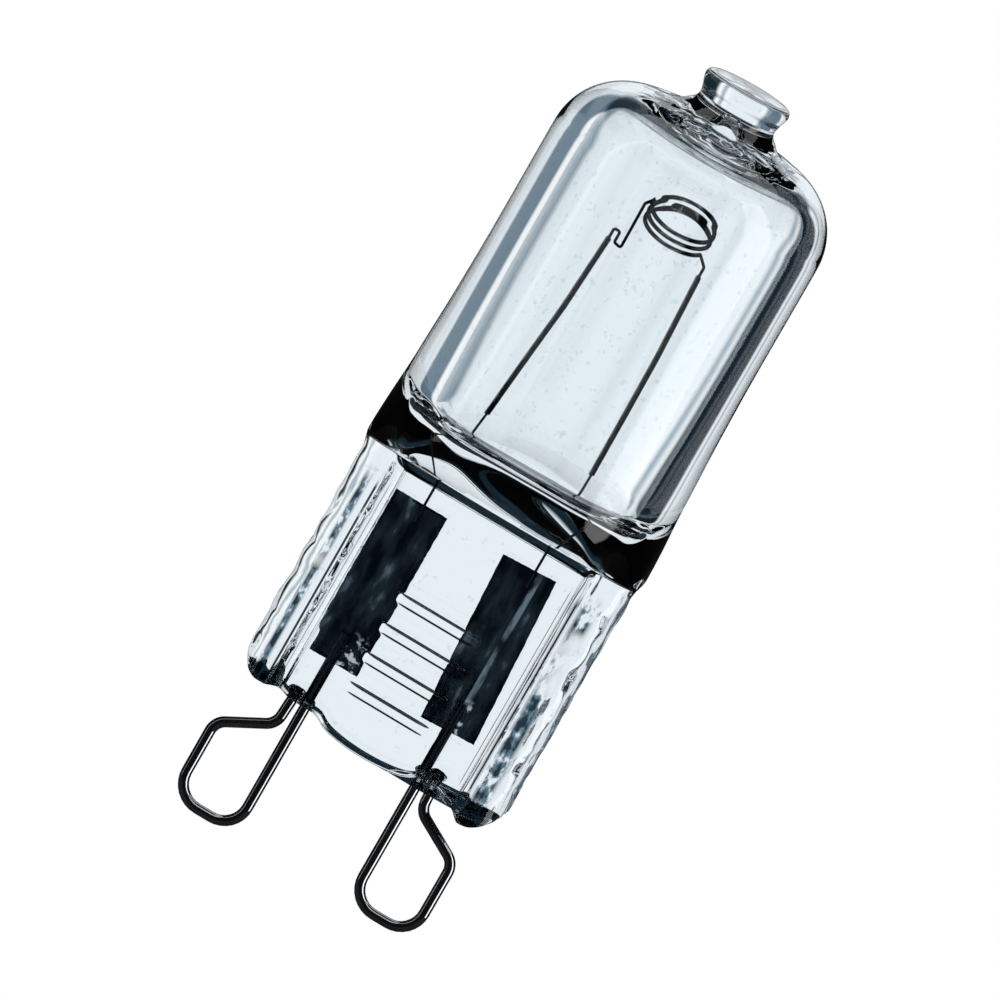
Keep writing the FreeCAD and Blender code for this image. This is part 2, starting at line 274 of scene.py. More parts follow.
# (height, radius) of the sealed tip, downwards, and of its blind bore
TIP = [(33.03, 0.3), (33.04, 1.0), (33.04, 1.6), (33.01, 1.84), (32.92, 1.99), (32.76, 2.05), (32.56, 2.03),
       (32.32, 1.94), (32.08, 1.85), (31.86, 1.82), (31.68, 1.86), (31.54, 1.97), (31.42, 2.15)]
TIP_BORE = [(31.7, 0.08), (31.62, 0.2), (31.4, 0.3), (31.0, 0.4), (30.6, 0.5), (30.3, 0.62),
            (30.1, 0.8), (29.97, 1.1), (29.91, 1.6)]
CROWN = 31.62
CROWN_FALL = 0.2126
DOME_ROUNDING = 3.2
DOME_BASE = 27.677
FEET = 1.1
# Rings about a rib, from its middle, with more of them where its edges turn
RIB_RINGS = (0.62, 0.45, 0.3, 0.24, 0.19, 0.14, 0.05, -0.05, -0.14, -0.2, -0.25, -0.3, -0.36, -0.5)


def outer_glass():
    """Outer skin, from the tip down to the feet of the pinch."""
    bm = bmesh.new()
    ring = first_ring(bm, disc(TIP[0][1], TIP[0][0], TIP_X))
    close(bm, ring)
    for height, radius in TIP[1:]:
        ring = grow(bm, ring, disc(radius, height, TIP_X))
    for radius in (2.45, 2.9, 3.4):
        ring = grow(bm, ring, lumpy(disc(radius, CROWN - CROWN_FALL * radius, GLASS_X + 0.05), 0.09))
    for degrees in range(78, -1, -6):
        angle = math.radians(degrees)
        radius = BULB_RADIUS - DOME_ROUNDING + DOME_ROUNDING * math.cos(angle)
        ring = grow(bm, ring, disc(radius, DOME_BASE + DOME_ROUNDING * math.sin(angle), GLASS_X))
    for height in (26.0, 24.0, 22.0, 20.5, 19.0, 17.8, 16.7, 15.8, 15.0):
        ring = grow(bm, ring, lower_ring(height))
    for degrees in range(0, 91, 5):
        ring = grow(bm, ring, lower_ring(BASE - (BASE - SHOULDER) * math.sin(math.radians(degrees))))
    for height in (11.8, 11.7, 11.58, 11.45, 11.32, 11.22, 11.12, 11.0, 10.8):
        ring = grow(bm, ring, lower_ring(height))
    heights = [10.5 - 0.3 * i for i in range(12)]
    for rib in reversed(RIBS):
        heights += [rib + step for step in RIB_RINGS]
    for height in heights:
        ring = grow(bm, ring, lower_ring(height))
    for share in (0.35, 0.7, 0.92):
        ring = grow(bm, ring, lower_ring(FEET, share))
    foot = lower_ring(FEET, 1.0)
    ring = grow(bm, ring, foot)
    ring = grow(bm, ring, shrunk(foot, 0.1, 0.05))
    ring = grow(bm, ring, shrunk(foot, 0.22, 0.06))
    close(bm, ring)
    bmesh.ops.recalc_face_normals(bm, faces=bm.faces)
    return bm


GAS_RADIUS = 5.2
GAS_X = 0.4
GAS_BASE = 14.9
GAS_FLOOR = 13.45
FLOOR_ROUNDING = 1.45
FLOOR_HUMP, HUMP_X = 0.35, 0.4
GAS_TOP = 29.85
TOP_ROUNDING = 1.9


def gas_ring(swing):
    """Ring of the gas space where it narrows to a rounded trough between the two faces."""
    angle = math.radians(swing)
    height = GAS_BASE - (GAS_BASE - GAS_FLOOR) * math.sin(angle)
    depth = GAS_RADIUS * max(0.0, math.cos(angle)) ** 0.85
    past = max(0.0, GAS_FLOOR + FLOOR_ROUNDING - height) / FLOOR_ROUNDING
    wide = GAS_RADIUS - FLOOR_ROUNDING * (1 - math.sqrt(max(0.0, 1 - past * past)))
    places = []
    for near, sx, sy in AROUND:
        turn = math.radians(90 * near / STEPS)
        x = wide * math.cos(turn)
        y = depth * math.sin(turn)
        hump = FLOOR_HUMP * math.sin(angle) ** 2 * (1 - ease(0.3, 4.5, abs(sx * x - HUMP_X)))
        places.append(Vector((GAS_X + sx * x, sy * y, height + hump)))
    return places


def gas_space():
    """Inner skin of the bulb, with its faces turned towards the gas."""
    bm = bmesh.new()
    ring = first_ring(bm, disc(TIP_BORE[0][1], TIP_BORE[0][0], TIP_X))
    close(bm, ring)
    for height, radius in TIP_BORE[1:]:
        ring = grow(bm, ring, disc(radius, height, TIP_X))
    for radius in (2.2, 2.7, 3.1):
        ring = grow(bm, ring, lumpy(disc(radius, GAS_TOP + 0.01, GAS_X), 0.1))
    for degrees in range(90, -1, -9):
        angle = math.radians(degrees)
        radius = GAS_RADIUS - TOP_ROUNDING + TOP_ROUNDING * math.cos(angle)
        height = GAS_TOP - TOP_ROUNDING + TOP_ROUNDING * math.sin(angle)
        ring = grow(bm, ring, disc(radius, height, GAS_X))
    for height in (27.85, 27.7, 27.4, 26.8, 25.5, 24.0, 22.5, 21.0, 19.5, 18.0, 17.0, 16.2, 15.5):
        ring = grow(bm, ring, disc(GAS_RADIUS, height, GAS_X))
    for swing in list(range(0, 85, 5)) + [83, 86, 88, 89, 90]:
        ring = grow(bm, ring, gas_ring(swing))
    bmesh.ops.remove_doubles(bm, verts=bm.verts, dist=0.00001)
    bmesh.ops.recalc_face_normals(bm, faces=bm.faces)
    bmesh.ops.reverse_faces(bm, faces=bm.faces)
    return bm


# Wires

def rounded(corners, radii, steps=8):
    """Points of a wire's middle line, with each corner rounded to its own radius."""
    points = [Vector(corners[0])]
    for before, corner, after, radius in zip(corners, corners[1:], corners[2:], radii):
        before, corner, after = Vector(before), Vector(corner), Vector(after)
        into, out = (corner - before).normalized(), (after - corner).normalized()
        turn = into.angle(out)
        axis = into.cross(out).normalized()
        start = corner - into * radius * math.tan(turn / 2)
        centre = start + axis.cross(into) * radius
        for i in range(steps + 1):
            points.append(centre + Matrix.Rotation(turn * i / steps, 3, axis) @ (start - centre))
    return points + [Vector(corners[-1])]


def wire(name, lines, radius, material, sides=3):
    """Round wire along one or more lines of points, as a mesh."""
    curve = bpy.data.curves.new(name, "CURVE")
    curve.dimensions = "3D"
    curve.bevel_depth = radius * MM
    curve.bevel_resolution = sides
    curve.use_fill_caps = True
    for points in lines:
        spline = curve.splines.new("POLY")
        spline.points.add(len(points) - 1)
        for knot, point in zip(spline.points, points):
            knot.co = (point.x * MM, point.y * MM, point.z * MM, 1.0)
    holder = bpy.data.objects.new(name + "_line", curve)
    mesh = bpy.data.meshes.new_from_object(holder)
    bpy.data.objects.remove(holder)
    mesh.name = name
    return piece_of(mesh, name, material)


def helix_about(line, radius, pitch, steps):
    """Points of a fine wire wound about a line of points."""
    points = []
    travelled = 0.0
    side = None
    for a, b in zip(line, line[1:]):
        along = (b - a).normalized()
        if side is None:
            side = along.cross(Vector((0, 1, 0.3))).normalized()
        side = (side - along * side.dot(along)).normalized()
        other = along.cross(side)
        length = (b - a).length
        count = max(1, round(length / pitch * steps))
        for i in range(count):
            turn = math.tau * (travelled + length * i / count) / pitch
            place = a + (b - a) * (i / count)
            points.append(place + (side * math.cos(turn) + other * math.sin(turn)) * radius)
        travelled += length
    return points


# Materials

def new_material(name):
    material = bpy.data.materials.new(name)
    material.use_nodes = True
    nodes = material.node_tree.nodes
    return material, nodes, material.node_tree.links, nodes["Principled BSDF"]


def noise_node(nodes, links, coords, scale, detail=3.0, stretch=(1, 1, 1)):
    mapping = nodes.new("ShaderNodeMapping")
    mapping.inputs["Scale"].default_value = stretch
    links.new(coords, mapping.inputs["Vector"])
    made = nodes.new("ShaderNodeTexNoise")
    made.inputs["Scale"].default_value = scale
    made.inputs["Detail"].default_value = detail
    links.new(mapping.outputs["Vector"], made.inputs["Vector"])
    return made.outputs["Fac"]


def ramp_node(nodes, links, value, stops):
    """Colours or greys between the stops, each a (place, colour) pair."""
    made = nodes.new("ShaderNodeValToRGB")
    made.color_ramp.interpolation = "LINEAR"
    elements = made.color_ramp.elements
    while len(elements) < len(stops):
        elements.new(0.5)
    for element, (place, colour) in zip(elements, stops):
        element.position = place
    for element, (place, colour) in zip(elements, stops):
        red_green_blue = colour if isinstance(colour, tuple) else (colour, colour, colour)
        element.color = (*red_green_blue, 1.0)
    links.new(value, made.inputs["Fac"])
    return made.outputs["Color"]


def bump_node(nodes, links, height, strength, distance, normal=None):
    made = nodes.new("ShaderNodeBump")
    made.inputs["Strength"].default_value = strength
    made.inputs["Distance"].default_value = distance
    links.new(height, made.inputs["Height"])
    if normal:
        links.new(normal, made.inputs["Normal"])
    return made.outputs["Normal"]


def place_axes(nodes, links):
    """Object place in millimetres, split into x, y and z."""
    coords = nodes.new("ShaderNodeTexCoord").outputs["Object"]
    larger = nodes.new("ShaderNodeVectorMath")
    larger.operation = "SCALE"
    larger.inputs["Scale"].default_value = 1 / MM
    links.new(coords, larger.inputs[0])
    split = nodes.new("ShaderNodeSeparateXYZ")
    links.new(larger.outputs["Vector"], split.inputs["Vector"])
    return coords, split.outputs["X"], split.outputs["Y"], split.outputs["Z"]


def product(nodes, links, *values):
    made = values[0]
    for value in values[1:]:
        times = nodes.new("ShaderNodeMath")
        times.operation = "MULTIPLY"
        links.new(made, times.inputs[0])
        links.new(value, times.inputs[1])
        made = times.outputs["Value"]
    return made


def rising(nodes, links, value, low, high):
    """Goes smoothly from 0 to 1 as the value goes from low to high."""
    made = nodes.new("ShaderNodeMapRange")
    made.interpolation_type = "SMOOTHSTEP"
    made.inputs["From Min"].default_value = low
    made.inputs["From Max"].default_value = high
    links.new(value, made.inputs["Value"])
    return made.outputs["Result"]


def falling(nodes, links, value, low, high):
    """Goes smoothly from 1 to 0 as the value goes from low to high."""
    made = rising(nodes, links, value, low, high).node
    made.inputs["To Min"].default_value = 1.0
    made.inputs["To Max"].default_value = 0.0
    return made.outputs["Result"]


def within(nodes, links, value, low, high, soft):
    """1 between low and high, fading out over the soft distance."""
    up = rising(nodes, links, value, low - soft, low + soft)
    return product(nodes, links, up, falling(nodes, links, value, high - soft, high + soft))


def mix_colour(nodes, links, share, a, b):
    """Goes from a to b by the share; each is a colour or another node's output."""
    made = nodes.new("ShaderNodeMix")
    made.data_type = "RGBA"
    links.new(share, made.inputs["Factor"])
    for socket, value in ((made.inputs["A"], a), (made.inputs["B"], b)):
        if isinstance(value, tuple):
            socket.default_value = (*value, 1.0)
        else:
            links.new(value, socket)
    return made.outputs["Result"]


# Places across the web of the thin dark lines painted along the rails as shade, where the glass edges look
# dark
RAIL_SHADE_LINES = ((-4.91, -4.8), (-4.44, -4.41), (4.62, 4.66), (4.83, 4.86), (5.13, 5.25))
GLASS_IOR = 1.46
# Painted shade: near-black colours given to the glass for its dark edge lines, the lower edges of the ribs and
# dark patches of the rail skin
LINE_SHADE_TINT = (0.0004, 0.001, 0.002)
RIB_EDGE_SHADE = (0.002, 0.004, 0.006)
SKIN_SHADE_TINTS = [(0.42, (0.0006, 0.002, 0.004)), (0.52, (0.03, 0.07, 0.11)), (0.6, (0.9, 0.95, 1.0))]


def quartz():
    """Clear fused silica: faint waves, tiny specks, a rough skin on the rails with painted shade in dark
    patches, and painted shade along the edge lines and under the ribs.
    """
    material, nodes, links, shader = new_material("quartz_glass")
    shader.inputs["IOR"].default_value = GLASS_IOR
    shader.inputs["Transmission Weight"].default_value = 1.0
    coords, x, y, z = place_axes(nodes, links)
    waves = noise_node(nodes, links, coords, 180, 2.0, (1, 1, 0.35))
    fine = noise_node(nodes, links, coords, 700, 2.0, (1, 1, 0.6))
    normal = bump_node(nodes, links, waves, 0.25, 0.00003)
    normal = bump_node(nodes, links, fine, 0.1, 0.000008, normal)
    specks = noise_node(nodes, links, coords, 2600, 2.0)
    tint = ramp_node(nodes, links, specks, [(0.27, (0.72, 0.78, 0.82)), (0.34, (0.965, 0.985, 0.995))])

    height = within(nodes, links, z, 0.2, 10.6, 0.5)
    front = falling(nodes, links, y, -1.7, -1.3)
    right = within(nodes, links, x, 5.42, 6.2, 0.16)
    left = within(nodes, links, x, -5.55, -5.2, 0.08)
    pitted = noise_node(nodes, links, coords, 2600, 5.0, (1, 1, 0.5))
    drift = noise_node(nodes, links, coords, 420, 2.0, (1, 1, 0.7))
    ragged = rising(nodes, links, drift, 0.3, 0.42)
    # Painted shade: the rough rail skin is also coloured in blue-black patches; the bump gives its real
    # roughness
    for side in (right, left):
        skin = product(nodes, links, height, front, side, ragged)
        mottled_shade = ramp_node(nodes, links, pitted, SKIN_SHADE_TINTS)
        tint = mix_colour(nodes, links, skin, tint, mottled_shade)
        normal = bump_node(nodes, links, product(nodes, links, skin, pitted), 0.5, 0.00012, normal)
    facing = falling(nodes, links, y, -1.0, -0.9)
    tall = within(nodes, links, z, 0.6, 10.4, 0.3)
    frayed = noise_node(nodes, links, coords, 900, 3.0, (1, 1, 0.6))
    frayed = rising(nodes, links, frayed, 0.28, 0.38)
    # Painted shade: thin near-black lines along the rails where the glass edges look dark
    for low, high in RAIL_SHADE_LINES:
        line = product(nodes, links, within(nodes, links, x, low, high, 0.02), tall, facing, frayed)
        tint = mix_colour(nodes, links, line, tint, LINE_SHADE_TINT)
    across = within(nodes, links, x, -1.3, 1.72, 0.08)
    # Painted shade: a dark line along the lower edge of each rib
    for rib in RIBS:
        edge = within(nodes, links, z, rib - 0.28, rib - 0.23, 0.015)
        edge = product(nodes, links, edge, across, facing)
        tint = mix_colour(nodes, links, edge, tint, RIB_EDGE_SHADE)
    links.new(tint, shader.inputs["Base Color"])
    links.new(normal, shader.inputs["Normal"])
    shader.inputs["Roughness"].default_value = 0.0
    return material


def metal(name, tones, gloss, scale, stretch, bump, rim):
    """Metal with uneven tone and gloss and a fine drawn grain; rim is how bright it is at its edges."""
    dark, light = tones
    rough_low, rough_high = gloss
    material, nodes, links, shader = new_material(name)
    shader.inputs["Metallic"].default_value = 1.0
    shader.inputs["Specular Tint"].default_value = (rim, rim, rim, 1.0)
    coords = nodes.new("ShaderNodeTexCoord").outputs["Object"]
    tone = noise_node(nodes, links, coords, scale, 5.0, stretch)
    links.new(ramp_node(nodes, links, tone, [(0.35, dark), (0.65, light)]), shader.inputs["Base Color"])
    links.new(ramp_node(nodes, links, tone, [(0.3, rough_low), (0.7, rough_high)]), shader.inputs["Roughness"])
    grain = noise_node(nodes, links, coords, scale * 6, 3.0, stretch)
    links.new(bump_node(nodes, links, grain, bump, 0.00002), shader.inputs["Normal"])
    return material


def pin_metal():
    """Drawn wire, bright outside the glass; painted shade makes it nearly black where it runs inside the
    glass.
    """
    tones = (0.28, 0.3, 0.32), (0.4, 0.42, 0.44)
    material = metal("pin_wire", tones, (0.04, 0.08), 500, (1, 1, 0.15), 0.02, 1.0)
    nodes, links = material.node_tree.nodes, material.node_tree.links
    colour = nodes["Principled BSDF"].inputs["Base Color"]
    bright = colour.links[0].from_socket
    z = place_axes(nodes, links)[3]
    # Painted shade: the same wire is coloured nearly black inside the glass
    sealed = rising(nodes, links, z, -0.1, 0.25)
    links.new(mix_colour(nodes, links, sealed, bright, (0.008, 0.012, 0.016)), colour)
    return material


# Painted shade and highlights: the foil is coloured nearly black, with bluish painted highlights in its uneven
# tone
FOIL_SHADE_AND_HIGHLIGHT_TONES = [(0.4, (0.002, 0.005, 0.008)), (0.6, (0.02, 0.032, 0.042)), (0.72, (0.14, 0.19, 0.23))]
STREAK_TONE = (0.2, 0.27, 0.32)
WELD_TONE = (0.75, 0.8, 0.84)


def foil_metal():
    """Thin rolled sheet, coloured nearly black as painted shade with bluish painted highlights, with streaks,
    pale specks and a frosted weld at its foot.
    """
    material, nodes, links, shader = new_material("foil")
    shader.inputs["Metallic"].default_value = 1.0
    coords, x, _, z = place_axes(nodes, links)
    tone = noise_node(nodes, links, coords, 1300, 5.0, (1, 0.2, 0.35))
    # Painted shade with bluish painted highlights, spread by the noise
    colour = ramp_node(nodes, links, tone, FOIL_SHADE_AND_HIGHLIGHT_TONES)
    worn = noise_node(nodes, links, coords, 2300, 4.0, (1, 0.2, 0.3))
    streak = product(
        nodes, links, within(nodes, links, x, 2.98, 3.24, 0.03),
        within(nodes, links, z, 3.4, 9.9, 0.5), rising(nodes, links, worn, 0.35, 0.6),
    )
    colour = mix_colour(nodes, links, streak, colour, STREAK_TONE)
    crust = noise_node(nodes, links, coords, 2800, 3.0, (1, 0.2, 1))
    flakes = rising(nodes, links, crust, 0.5, 0.6)
    for left, right, soft, foot in ((-2.8, -1.85, 0.1, 3.2), (3.0, 3.4, 0.05, 3.3)):
        across = within(nodes, links, x, left, right, soft)
        weld = product(nodes, links, across, falling(nodes, links, z, foot, 4.0), flakes)
        colour = mix_colour(nodes, links, weld, colour, WELD_TONE)
    links.new(colour, shader.inputs["Base Color"])
    shader.inputs["Roughness"].default_value = 0.35
    links.new(bump_node(nodes, links, worn, 0.4, 0.00002), shader.inputs["Normal"])
    return material


# Light: white to the camera, and to the glass a ring of bright windows with dark between

NAVY, SLATE, GREY = (0.008, 0.02, 0.03), (0.13, 0.2, 0.26), (0.3, 0.4, 0.47)
COLD, WHITE, WINDOW = (0.84, 0.9, 0.94), (1.0, 1.02, 1.03), (0.9, 0.95, 1.0)

# (bearing in degrees, tone) of what is seen through the glass, and the bearing where the halves meet
NEAR_HALF = [(0, COLD), (18, COLD), (22, NAVY), (31, NAVY), (35, COLD), (55, COLD), (59, NAVY), (68, NAVY),
             (72, COLD), (104, COLD), (108, GREY), (116, COLD), (121, NAVY), (157, NAVY), (161, WHITE),
             (180, WHITE)]
FAR_HALF = [(157, WHITE), (163, WHITE), (167, GREY), (170, WHITE), (176, COLD), (205, COLD), (209, SLATE),
            (231, SLATE), (235, WHITE), (239, WHITE), (243, COLD), (292, COLD), (296, NAVY), (305, NAVY),
            (310, COLD), (325, COLD), (329, NAVY), (338, NAVY), (342, COLD), (360, COLD)]
MEETING = 162.5
# (elevation in degrees, light) of it, and the elevations between which the ring of tones is seen
BELTS = [(-90, 1.0), (-76, 1.0), (-72, 0.0), (-43, 0.0), (-41, 1.0), (12, 1.0), (17, 0.0), (90, 0.0)]
RING_LOW, RING_HIGH = -27, 31
# (bearing in degrees, light) of the strip lamps that the outer faces mirror
STRIPS = [(0, 0.012), (58, 0.012), (61, 3.0), (84, 3.0), (87, 0.012), (292, 0.012),
          (294, 1.5), (297, 1.5), (299, 0.012), (360, 0.012)]
MIRROR_BAND = 10


def around_turn(degrees):
    """Bearing as a share of a whole turn."""
    return degrees / 360


def up_share(degrees):
    """Elevation as a share of the way from straight down to straight up."""
    return (90 + degrees) / 180


def world_light():
    world = bpy.data.worlds.new("studio")
    bpy.context.scene.world = world
    world.use_nodes = True
    nodes, links = world.node_tree.nodes, world.node_tree.links
    nodes.clear()
    coords = nodes.new("ShaderNodeTexCoord").outputs["Generated"]
    parts = nodes.new("ShaderNodeSeparateXYZ")
    links.new(coords, parts.inputs["Vector"])

    def maths(kind, *values):
        made = nodes.new("ShaderNodeMath")
        made.operation = kind
        for socket, value in zip(made.inputs, values):
            if isinstance(value, float):
                socket.default_value = value
            else:
                links.new(value, socket)
        return made.outputs["Value"]

    def mixed(share, a, b):
        return mix_colour(nodes, links, share, a, b)

    back = maths("MULTIPLY", parts.outputs["Y"], -1.0)
    bearing = maths("ARCTAN2", parts.outputs["X"], back)
    bearing = maths("FRACT", maths("DIVIDE", bearing, math.tau))
    height = maths("ARCSINE", parts.outputs["Z"])
    height = maths("ADD", maths("DIVIDE", height, math.pi), 0.5)

    near = ramp_node(nodes, links, bearing, [(around_turn(a), tone) for a, tone in NEAR_HALF])
    far = ramp_node(nodes, links, bearing, [(around_turn(a), tone) for a, tone in FAR_HALF])
    ring = mixed(maths("GREATER_THAN", bearing, around_turn(MEETING)), near, far)
    low = maths("LESS_THAN", height, up_share(RING_LOW))
    past = maths("MAXIMUM", low, maths("GREATER_THAN", height, up_share(RING_HIGH)))
    belt = ramp_node(nodes, links, height, [(up_share(e), light) for e, light in BELTS])
    through = mixed(belt, NAVY, mixed(past, ring, COLD))

    mirror = ramp_node(nodes, links, bearing, [(around_turn(a), light) for a, light in STRIPS])
    overhead = maths("COMPARE", height, up_share(60), MIRROR_BAND / 180)
    mirror = mixed(overhead, mirror, (1.2, 1.2, 1.2))
    behind = maths("COMPARE", bearing, around_turn(185), MIRROR_BAND / 180)
    level = maths("COMPARE", height, up_share(14), MIRROR_BAND / 180)
    mirror = mixed(maths("MULTIPLY", behind, level), mirror, WINDOW)

    path = nodes.new("ShaderNodeLightPath")
    colour = mixed(path.outputs["Is Glossy Ray"], (0.95, 0.95, 0.95), mirror)
    colour = mixed(path.outputs["Is Transmission Ray"], colour, through)
    colour = mixed(path.outputs["Is Camera Ray"], colour, (1.0, 1.0, 1.0))
    shine = nodes.new("ShaderNodeBackground")
    shine.inputs["Strength"].default_value = 1.0
    links.new(colour, shine.inputs["Color"])
    output = nodes.new("ShaderNodeOutputWorld")
    links.new(shine.outputs["Background"], output.inputs["Surface"])


FLOOR_GREY = 0.93
FLOOR_RADIUS, FLOOR_HEIGHT = 0.12, -0.045
# (distance from the middle in millimetres, tone) of the floor as it is seen through the glass
FLOOR_RINGS = [(14.5, COLD), (19, NAVY), (80, NAVY), (86, COLD)]


def pale_floor():
    """Pale disc below the lamp, brighter to the camera, with dark rings that only the glass shows."""
    bm = bmesh.new()
    bmesh.ops.create_circle(bm, cap_ends=True, cap_tris=True, segments=96, radius=FLOOR_RADIUS)
    bmesh.ops.translate(bm, vec=(0, 0, FLOOR_HEIGHT), verts=bm.verts)
    mesh = bpy.data.meshes.new("floor")
    bm.to_mesh(mesh)
    bm.free()
    floor = bpy.data.objects.new("floor", mesh)
    bpy.context.collection.objects.link(floor)
    material, nodes, links, shader = new_material("pale_floor")
    shader.inputs["Roughness"].default_value = 0.9
    shader.inputs["Emission Color"].default_value = (1, 1, 1, 1)
    path = nodes.new("ShaderNodeLightPath")
    lift = nodes.new("ShaderNodeMath")
    lift.operation = "MULTIPLY"
    lift.inputs[1].default_value = 0.14
    links.new(path.outputs["Is Camera Ray"], lift.inputs[0])
    links.new(lift.outputs["Value"], shader.inputs["Emission Strength"])
    place = nodes.new("ShaderNodeVectorMath")
    place.operation = "LENGTH"
    links.new(nodes.new("ShaderNodeTexCoord").outputs["Object"], place.inputs[0])
    rings = ramp_node(nodes, links, place.outputs["Value"], [(r * MM, tone) for r, tone in FLOOR_RINGS])
    pale, dark = (FLOOR_GREY,) * 3, (0.02,) * 3
    seen = mix_colour(nodes, links, path.outputs["Is Glossy Ray"], pale, dark)
    seen = mix_colour(nodes, links, path.outputs["Is Transmission Ray"], seen, rings)
    links.new(seen, shader.inputs["Base Color"])
    mesh.materials.append(material)


CAMERA_BEARING, CAMERA_RISE, CAMERA_LEAN = 5, 10, 29.9
CAMERA_AIM = (-0.08, 0.0, 12.06)
CAMERA_DISTANCE = 0.4
PICTURE_WIDTH = 1000 / 23.13 * MM
SENSOR = 36


def camera():
    """Looks at the lamp from the front, a little from above, with the lamp leaning to the right."""
    bearing, rise = math.radians(CAMERA_BEARING), math.radians(CAMERA_RISE)
    level = math.cos(rise)
    toward = Vector((math.sin(bearing) * level, -math.cos(bearing) * level, math.sin(rise)))
    data = bpy.data.cameras.new("camera")
    data.sensor_width = SENSOR
    data.lens = SENSOR * CAMERA_DISTANCE / PICTURE_WIDTH
    data.clip_start = 0.01
    made = bpy.data.objects.new("camera", data)
    bpy.context.collection.objects.link(made)
    turn = (-toward).to_track_quat("-Z", "Y").to_matrix()
    turn = turn @ Matrix.Rotation(math.radians(CAMERA_LEAN), 3, "Z")
    place = Vector(CAMERA_AIM) * MM + toward * CAMERA_DISTANCE
    made.matrix_world = Matrix.Translation(place) @ turn.to_4x4()
    bpy.context.scene.camera = made


# The lamp

QUARTZ = quartz()
PIN_METAL = pin_metal()
FOIL_METAL = foil_metal()
LEAD_METAL = metal("lead_wire", ((0.008, 0.01, 0.013), (0.03, 0.035, 0.04)), (0.2, 0.4),
                   2000, (1, 1, 0.2), 0.2, 0.1)
SLEEVE_METAL = metal("sleeve_wire", ((0.004, 0.006, 0.008), (0.02, 0.024, 0.028)), (0.25, 0.45),
                     3000, (1, 1, 1), 0.1, 0.05)
COIL_METAL = metal("filament_wire", ((0.004, 0.006, 0.008), (0.02, 0.023, 0.026)), (0.25, 0.45),
                   4000, (1, 1, 1), 0.1, 0.05)


def glass():
    """Both skins of the envelope as one piece."""
    bm = outer_glass()
    inner = gas_space()
    mesh = bpy.data.meshes.new("gas")
    inner.to_mesh(mesh)
    inner.free()
    bm.from_mesh(mesh)
    bpy.data.meshes.remove(mesh)
    piece = piece_from(bm, "glass", QUARTZ)
    smooth = piece.modifiers.new("smooth", "SUBSURF")
    smooth.levels = 1
    smooth.render_levels = 1
    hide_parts("envelope")


def glass_beads():
    """Small lumpy beads of glass that have run round the wires where they leave the pinch."""
    bm = bmesh.new()
    for side in (-1, 1):
        for x, z, size in ((LEG_X, 0.12, 0.36), (FREE_END_X, 0.3, 0.4)):
            middle = Vector((side * x, 0, z))
            for vert in bmesh.ops.create_icosphere(bm, subdivisions=4, radius=1.0)["verts"]:
                lift = 1 + 0.3 * noise.noise(vert.co * 1.6 + Vector((5 * side, x, 0)))
                vert.co = middle + Vector((vert.co.x * size, vert.co.y * size, vert.co.z * 0.24)) * lift
    piece_from(bm, "glass_beads", QUARTZ)


PIN_TOP, PIN_FOOT = 3.6, -6.55
PIN_RADIUS = 0.25


def pin_wire(side, name):
    """One wire down from the foil, round the loop and back up into the glass."""
    corners = [
        (side * LEG_X, 0, PIN_TOP), (side * LEG_X, 0, PIN_FOOT), (side * OUTER_LEG_X, 0, PIN_FOOT),
        (side * OUTER_LEG_X, 0, -2.8), (side * (FREE_END_X + 0.12), 0, -1.5), (side * FREE_END_X, 0, 0.5),
    ]
    line = rounded(corners, [1.2, 1.2, 0.8, 0.8])
    piece = wire(name + "_wire", [line], PIN_RADIUS, PIN_METAL, 6)
    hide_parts(name)


FOIL_HALF_WIDTH = 1.3
FOIL_HALF_HEIGHT = 4
FOIL_FOOT = 2.2
FOIL_THICKNESS = 0.03


def foil(side, name, tilt):
    """Thin strip with feathered, slightly uneven edges and a soft crumple."""
    bm = bmesh.new()
    bmesh.ops.create_grid(bm, x_segments=22, y_segments=60, size=1.0)
    for vert in bm.verts:
        u, v = vert.co.x, vert.co.y
        edge = 0.05 * noise.noise(Vector((side * 3, v * 9, 0.4))) * abs(u) ** 6
        end = 0.05 * noise.noise(Vector((u * 4, side * 5, 2.4))) * abs(v) ** 20
        notch = 0.22 * (1 - ease(0.12, 0.2, abs(v + 0.9))) * (1 - ease(-1.0, -0.7, u)) if side < 0 else 0.0
        x = u * FOIL_HALF_WIDTH + math.copysign(edge, u) + notch
        z = v * FOIL_HALF_HEIGHT + math.copysign(end, v)
        y = 0.012 * noise.noise(Vector((u * 2.2, v * 5, 7.7 * side)))
        vert.co = Vector((x, y, z))
    bmesh.ops.solidify(bm, geom=bm.faces[:], thickness=FOIL_THICKNESS)
    leaning = Matrix.Rotation(math.radians(-tilt), 3, "Y")
    bmesh.ops.rotate(bm, cent=(0, 0, -FOIL_HALF_HEIGHT), matrix=leaning, verts=bm.verts)
    middle = (side * LEG_X, FOIL_Y + 0.02, FOIL_FOOT + FOIL_HALF_HEIGHT)
    bmesh.ops.translate(bm, vec=middle, verts=bm.verts)
    bmesh.ops.recalc_face_normals(bm, faces=bm.faces)
    piece = piece_from(bm, name + "_strip", FOIL_METAL)
    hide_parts(name)


# (across, height) of the corners of each inner lead, upwards
LEADS = {
    -1: [(-2.79, 9.4), (-2.79, 13.7), (-2.59, 15.1), (-1.95, 20.8), (-1.73, 24.4)],
    1: [(2.82, 9.4), (2.82, 13.7), (2.81, 15.1), (2.68, 20.8), (2.5, 24.9)],
}


LEAD_RADIUS = 0.06
SLEEVE_FOOT = 15.0
SLEEVE_RADIUS, SLEEVE_PITCH, SLEEVE_WIRE = 0.105, 0.09, 0.042


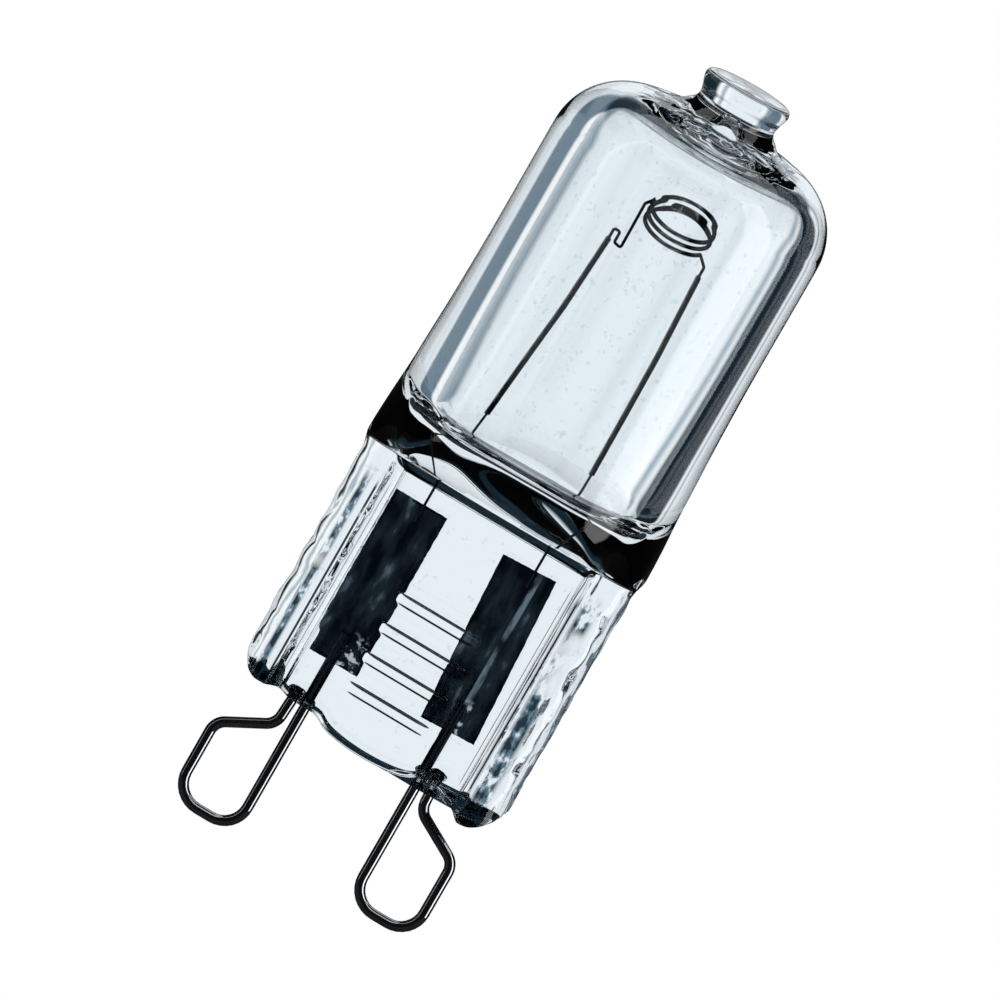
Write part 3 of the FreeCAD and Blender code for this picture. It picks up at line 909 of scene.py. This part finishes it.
def lead(side, word):
    """Inner lead, and the fine wire wound round its upper part."""
    corners = [(x, LEAD_Y, z) for x, z in LEADS[side]]
    line = rounded(corners, [3.0, 3.0, 6.0], 5)
    piece = wire("inner_lead_" + word, [line], LEAD_RADIUS, LEAD_METAL, 3)
    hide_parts("inner_lead_" + word)
    upper = [point for point in line if point.z >= SLEEVE_FOOT]
    turns = helix_about(upper, SLEEVE_RADIUS, SLEEVE_PITCH, 9)
    name = "lead_sleeve_" + word
    sleeve = wire(name + "_turns", [turns], SLEEVE_WIRE, SLEEVE_METAL, 1)
    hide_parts(name)


COIL_X = 0.72
COIL_FOOT = 26.0
COIL_RADIUS = 1.5
COIL_PITCH = 0.34
COIL_TURNS = 2.44
COIL_START = -20
COIL_LEAN = 18
STRAND_RADIUS, STRAND_PITCH, STRAND_WIRE = 0.072, 0.075, 0.03
TAIL_RADIUS = 0.07


def coil_point(turn):
    """Place on the middle line of the leaning ring, after some turns of it."""
    angle = math.radians(COIL_START) - math.tau * turn
    place = Vector((COIL_RADIUS * math.cos(angle), COIL_RADIUS * math.sin(angle), COIL_PITCH * turn))
    return Vector((COIL_X, 0, COIL_FOOT)) + Matrix.Rotation(math.radians(COIL_LEAN), 3, "X") @ place


def filament():
    """Fine wire coiled, and the coil bent round in a leaning ring, with a tail to each lead."""
    strand = [coil_point(COIL_TURNS * i / 120) for i in range(121)]
    turns = helix_about(strand, STRAND_RADIUS, STRAND_PITCH, 8)
    left_top, right_top = (Vector((LEADS[side][-1][0], LEAD_Y, LEADS[side][-1][1])) for side in (-1, 1))
    aside, rise, sag = Vector((0.3, 0, 0)), Vector((0, 0, 0.45)), Vector((0, 0, -0.15))
    end = coil_point(COIL_TURNS)
    left = [end, end - Vector((0.27, 0, 0.27)), left_top + aside * 2.2 + sag, left_top + aside + sag / 2,
            left_top + aside + rise, left_top + rise, left_top]
    right = [coil_point(0), right_top + rise, right_top]
    tails = [rounded(left, [0.1] * 5, 4), rounded(right, [0.2], 5)]
    piece = wire("filament_coil", [turns], STRAND_WIRE, COIL_METAL, 1)
    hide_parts("filament")
    wire("filament_tails", tails, TAIL_RADIUS, COIL_METAL, 2)


world_light()
pale_floor()
camera()
glass()
glass_beads()
for side, word in ((-1, "left"), (1, "right")):
    pin_wire(side, "pin_" + word)
    foil(side, "foil_" + word, 3.0 if side > 0 else 0.0)
    lead(side, word)
filament()

bpy.context.scene.view_settings.view_transform = "Standard"
